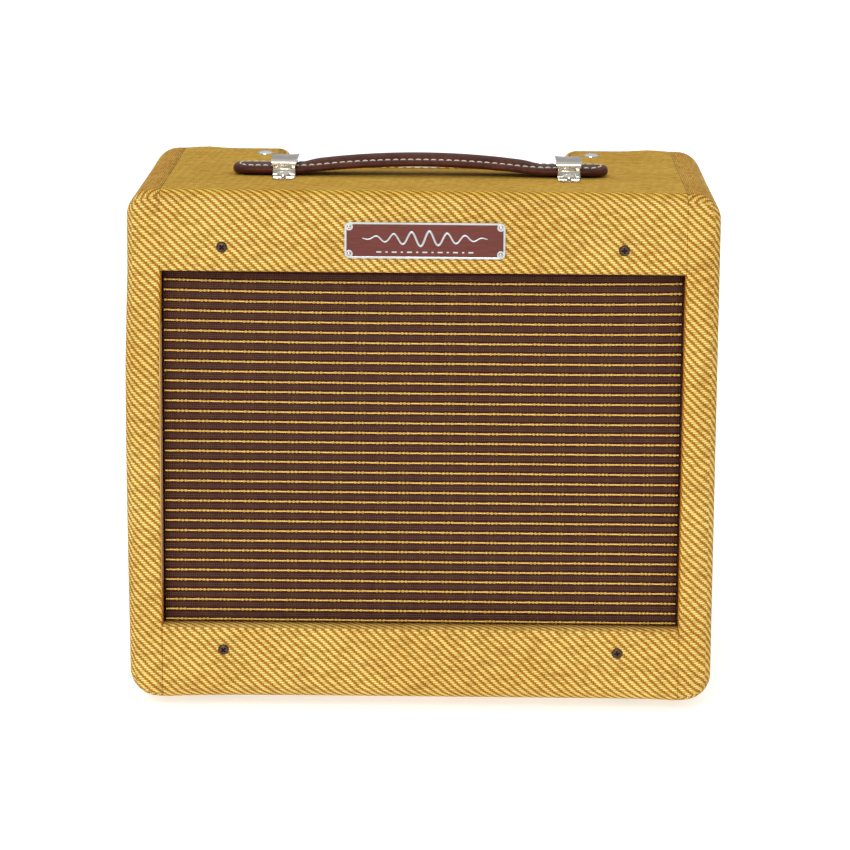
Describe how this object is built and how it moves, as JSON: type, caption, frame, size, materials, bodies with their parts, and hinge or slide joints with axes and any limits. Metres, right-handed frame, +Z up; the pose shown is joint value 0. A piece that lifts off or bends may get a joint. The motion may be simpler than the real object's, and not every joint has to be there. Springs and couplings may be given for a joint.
{
  "type": "guitar amplifier",
  "caption": "Small tweed-covered valve guitar combo with a single speaker, leather handle, rear-top control panel and open back.",
  "frame": {"origin": "on the ground, under the centre of the bounding box", "axes": "+X to the right seen from the front, +Y from the front to the back, +Z up"},
  "size_m": [0.343, 0.206, 0.3222],
  "materials": {
    "tweed": "woven cotton twill, lacquered",
    "pine": "bare pine",
    "grille_cloth": "woven cloth with gold stripes",
    "leather": "stitched leather",
    "nickel": "nickel plated steel",
    "chrome": "chromed steel",
    "black_screw": "black oxide",
    "badge": "etched plate with a silver border",
    "rubber": "matt",
    "brown_bakelite": "moulded phenolic",
    "black_bakelite": "moulded phenolic",
    "valve_glass": "clear glass",
    "iron": "black enamel",
    "paper": "pressed paper",
    "speaker_metal": "painted steel",
    "fibre": "vulcanised fibre",
    "capacitor": "waxed paper",
    "jewel": "faceted red glass"
  },
  "bodies": {
    "cabinet": {"side_board_left": "pine", "side_board_right": "pine", "top_board": "pine", "bottom_board": "pine", "upper_front_panel": "pine", "lower_front_panel": "pine", "baffle_board": "pine", "rear_batten_left": "pine", "rear_batten_right": "pine", "tweed_left": "tweed", "tweed_right": "tweed", "tweed_upper": "tweed", "tweed_lower": "tweed", "upper_back_panel": "tweed", "lower_back_panel": "tweed", "grille_cloth": "grille_cloth", "front_screw_upper_left": "black_screw", "front_screw_upper_right": "black_screw", "front_screw_lower_left": "black_screw", "front_screw_lower_right": "black_screw", "badge_plate": "badge", "handle_loop_left": "nickel", "handle_loop_right": "nickel", "loop_screw_left_front": "nickel", "loop_screw_right_front": "nickel", "loop_screw_left_rear": "nickel", "loop_screw_right_rear": "nickel", "volume_potentiometer": "nickel", "input_jack_1": "nickel", "input_jack_2": "nickel", "chassis": "chrome", "chassis_screw_left": "chrome", "chassis_screw_right": "chrome", "pilot_lamp_holder": "chrome", "rectifier_socket": "brown_bakelite", "output_socket": "brown_bakelite", "fuse_holder": "black_bakelite", "preamp_socket": "black_bakelite", "pilot_jewel": "jewel", "power_transformer": "iron", "output_transformer": "iron", "circuit_board": "fibre", "filter_capacitor": "capacitor", "speaker_gasket": "paper", "speaker_basket": "speaker_metal", "speaker_magnet": "speaker_metal", "speaker_lead": "rubber", "foot_front_left": "rubber", "foot_front_right": "rubber", "foot_rear_left": "rubber", "foot_rear_right": "rubber"},
    "volume_control": {"volume_knob": "brown_bakelite", "volume_shaft": "nickel"},
    "handle": {"handle_strap": "leather"},
    "cone": {"speaker_cone": "paper", "speaker_spider": "fibre"},
    "fuse_cap": {"fuse_cap": "black_bakelite"},
    "rectifier": {"rectifier_valve": "valve_glass"},
    "output": {"output_valve": "valve_glass"},
    "preamp": {"preamp_valve": "valve_glass"}
  },
  "joints": [
    {"name": "volume_turn", "type": "hinge", "parent": "cabinet", "child": "volume_control", "pos_m": [0, 0.053, 0.2879], "axis": [0, 0, 1], "range_deg": [-150, 150]},
    {"name": "handle_slide", "type": "slide", "parent": "cabinet", "child": "handle", "axis": [1, 0, 0], "range_m": [-0.004, 0.0097]},
    {"name": "cone_travel", "type": "slide", "parent": "cabinet", "child": "cone", "axis": [0, -1, 0], "range_m": [-0.0015, 0.0015], "stiffness_N_per_m": 2000},
    {"name": "fuse_cap_turn", "type": "hinge", "parent": "cabinet", "child": "fuse_cap", "pos_m": [0.064, 0.053, 0.2879], "axis": [0, 0, 1], "range_deg": [0, 60]},
    {"name": "rectifier_pull", "type": "slide", "parent": "cabinet", "child": "rectifier", "axis": [0, 0, -1], "range_m": [0, 0.016]},
    {"name": "output_pull", "type": "slide", "parent": "cabinet", "child": "output", "axis": [0, 0, -1], "range_m": [0, 0.016]},
    {"name": "preamp_pull", "type": "slide", "parent": "cabinet", "child": "preamp", "axis": [0, 0, -1], "range_m": [0, 0.016]}
  ]
}
